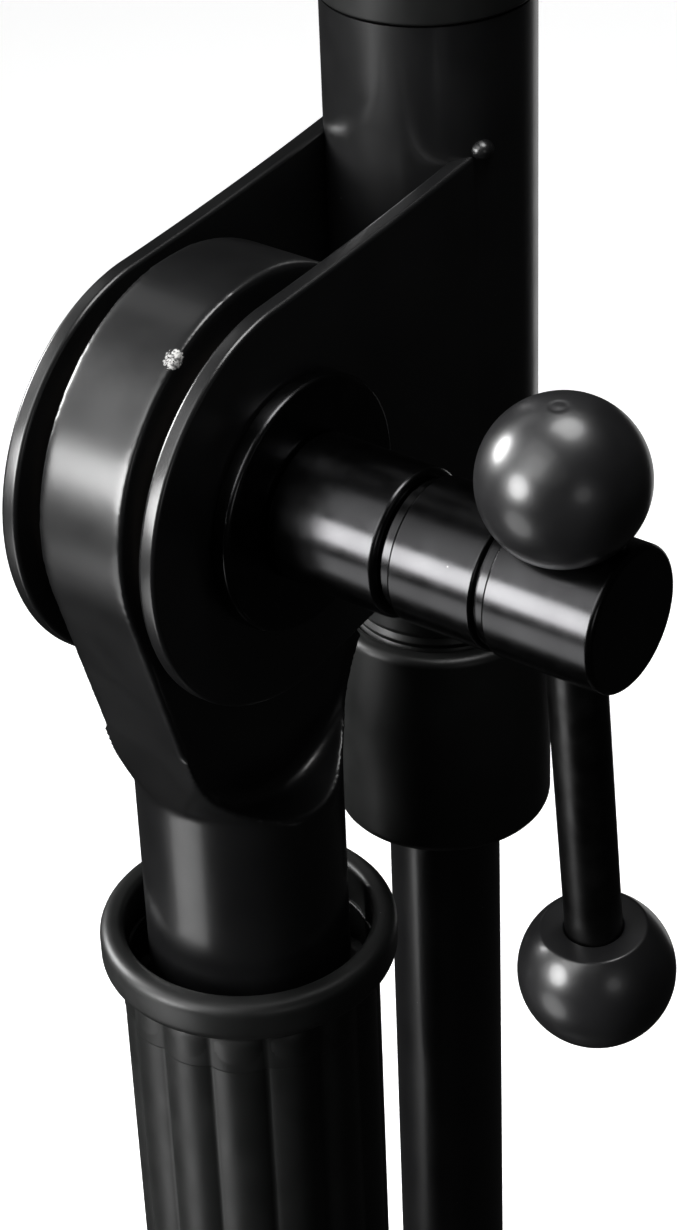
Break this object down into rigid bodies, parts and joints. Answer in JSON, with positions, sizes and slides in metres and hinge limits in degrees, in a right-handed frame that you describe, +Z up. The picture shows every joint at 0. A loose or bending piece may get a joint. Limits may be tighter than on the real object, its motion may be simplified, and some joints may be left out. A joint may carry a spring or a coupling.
{
  "type": "music stand",
  "caption": "Black music stand: round base, telescoping upright with a fluted twist clutch, forked boom joint clamped by a T-bar screw, sliding arm and a tilting desk.",
  "frame": {"origin": "on the floor under the upright's axis, which is the bottom centre of the bounding box", "axes": "+Z up; +X along the clamp screw towards its T-bar; +Y from the upright towards the folded arm; readers sit on the -Y side"},
  "size_m": [0.5, 0.34, 1.2383],
  "materials": {
    "powder_coat": "satin black powder coat on steel",
    "cast_iron": "cast iron under satin black paint",
    "black_steel": "turned steel, glossy black",
    "zinc_steel": "zinc-plated steel",
    "moulded_black": "moulded black plastic, satin",
    "phenolic": "black phenolic, semi-gloss",
    "nylon": "natural nylon",
    "rubber": "black rubber",
    "friction_fibre": "dark fibre friction disc"
  },
  "bodies": {
    "base": {"base_plate": "cast_iron", "base_foot_1": "rubber", "base_foot_2": "rubber", "base_foot_3": "rubber", "base_foot_4": "rubber", "base_bolt": "zinc_steel", "base_washer": "zinc_steel", "tube_plug": "zinc_steel", "outer_tube": "powder_coat", "base_ferrule": "moulded_black", "clutch_collet": "nylon"},
    "clutch": {"clutch_sleeve": "moulded_black"},
    "mast": {"inner_tube": "powder_coat", "inner_tube_guide": "nylon", "knuckle": "powder_coat", "stem_pin": "zinc_steel"},
    "fork": {"fork_cheek_outer": "powder_coat", "fork_cheek_inner": "powder_coat", "friction_disc_outer": "friction_fibre", "friction_disc_inner": "friction_fibre", "clamp_nut": "black_steel", "guide_tube": "powder_coat", "top_bush": "moulded_black", "lock_neck": "moulded_black", "lock_collet": "nylon"},
    "arm_lock": {"lock_collar": "moulded_black"},
    "thrust": {"thrust_washer": "black_steel", "clamp_spacer": "black_steel"},
    "clamp": {"clamp_screw": "black_steel"},
    "t_bar": {"tommy_bar": "black_steel", "ball_upper": "phenolic", "ball_lower": "phenolic"},
    "arm": {"arm_tube": "powder_coat", "arm_end_plug": "moulded_black", "arm_head": "powder_coat"},
    "desk": {"desk_plate": "powder_coat", "desk_ledge": "powder_coat", "desk_bracket": "powder_coat", "hinge_bolt": "black_steel", "hinge_washer_right": "nylon", "hinge_washer_left": "nylon", "desk_screw_1": "black_steel", "desk_screw_2": "black_steel", "desk_screw_3": "black_steel", "desk_screw_4": "black_steel", "desk_nut_1": "black_steel", "desk_nut_2": "black_steel", "desk_nut_3": "black_steel", "desk_nut_4": "black_steel", "ledge_rivet_1": "black_steel", "ledge_rivet_2": "black_steel", "ledge_rivet_3": "black_steel", "ledge_rivet_4": "black_steel"},
    "knob": {"desk_knob": "moulded_black"}
  },
  "joints": [
    {"name": "height_slide", "type": "slide", "parent": "base", "child": "mast", "axis": [0, 0, 1], "range_m": [0, 0.4]},
    {"name": "clutch_twist", "type": "hinge", "parent": "base", "child": "clutch", "pos_m": [0, 0, 0.56], "axis": [0, 0, 1], "range_deg": [0, 150]},
    {"name": "arm_tilt", "type": "hinge", "parent": "mast", "child": "fork", "pos_m": [0, 0, 0.69], "axis": [1, 0, 0], "range_deg": [-3, 120]},
    {"name": "arm_lock_twist", "type": "hinge", "parent": "fork", "child": "arm_lock", "pos_m": [0, 0.0562, 0.616], "axis": [0, 0, 1], "range_deg": [-120, 0]},
    {"name": "clamp_back_off", "type": "slide", "parent": "fork", "child": "thrust", "axis": [1, 0, 0], "range_m": [0, 0.00135]},
    {"name": "clamp_turn", "type": "hinge", "parent": "thrust", "child": "clamp", "pos_m": [0.06, 0, 0.69], "axis": [1, 0, 0], "range_deg": [0, 270]},
    {"name": "bar_slide", "type": "slide", "parent": "clamp", "child": "t_bar", "axis": [0, -0.108, 0.9942], "range_m": [0, 0.0515]},
    {"name": "arm_slide", "type": "slide", "parent": "fork", "child": "arm", "axis": [0, 0, 1], "range_m": [-0.15, 0.2]},
    {"name": "desk_tilt", "type": "hinge", "parent": "arm", "child": "desk", "pos_m": [0, 0.0562, 1.05], "axis": [1, 0, 0], "range_deg": [-90, 20]},
    {"name": "knob_turn", "type": "hinge", "parent": "desk", "child": "knob", "pos_m": [0.02, 0.0562, 1.05], "axis": [1, 0, 0], "range_deg": [0, 270]}
  ],
  "couplings": [
    {"joint": "clamp_back_off", "follows": "clamp_turn", "m_per_rad": 0.00027852}
  ]
}
